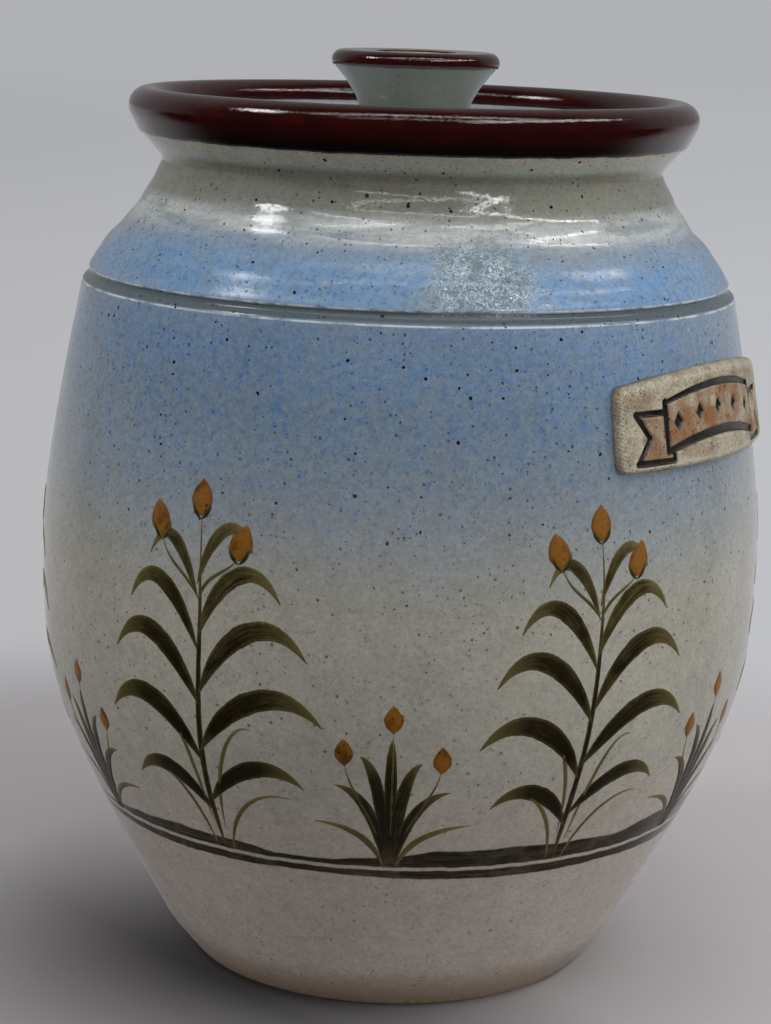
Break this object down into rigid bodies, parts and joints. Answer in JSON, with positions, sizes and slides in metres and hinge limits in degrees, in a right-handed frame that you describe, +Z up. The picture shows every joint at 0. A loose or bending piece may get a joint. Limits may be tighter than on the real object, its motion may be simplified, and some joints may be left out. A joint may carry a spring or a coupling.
{
  "type": "biscuit jar",
  "caption": "Stoneware biscuit jar with a full belly, dark rolled rim, sunk lid with flared knob, and a pressed clay plaque on its shoulder.",
  "frame": {"origin": "centre of the foot ring, on the table", "axes": "+Z up along the jar's axis; -Y is the front, the side that the picture shows, with the plaque round to its right, towards +X"},
  "size_m": [0.22, 0.22, 0.2784],
  "materials": {
    "speckled_glaze": "satin-gloss pale glaze over speckled stoneware, sprayed blue round the shoulder",
    "dark_glaze": "glossy dark red-brown glaze",
    "toasted_clay": "dry, sandy, lightly glazed clay",
    "lid_glaze": "satin pale blue-grey glaze",
    "knob_glaze_pale": "satin grey-green glaze"
  },
  "bodies": {
    "jar": {"jar_body": "speckled_glaze", "rim_glaze": "dark_glaze", "plaque": "toasted_clay"},
    "lid_and_knob": {"lid": "lid_glaze", "lid_knob": "knob_glaze_pale", "knob_glaze": "dark_glaze"}
  },
  "joints": [
    {"name": "lid_lift", "type": "slide", "parent": "jar", "child": "lid_and_knob", "axis": [0, 0, 1], "range_m": [0, 0.06]}
  ]
}
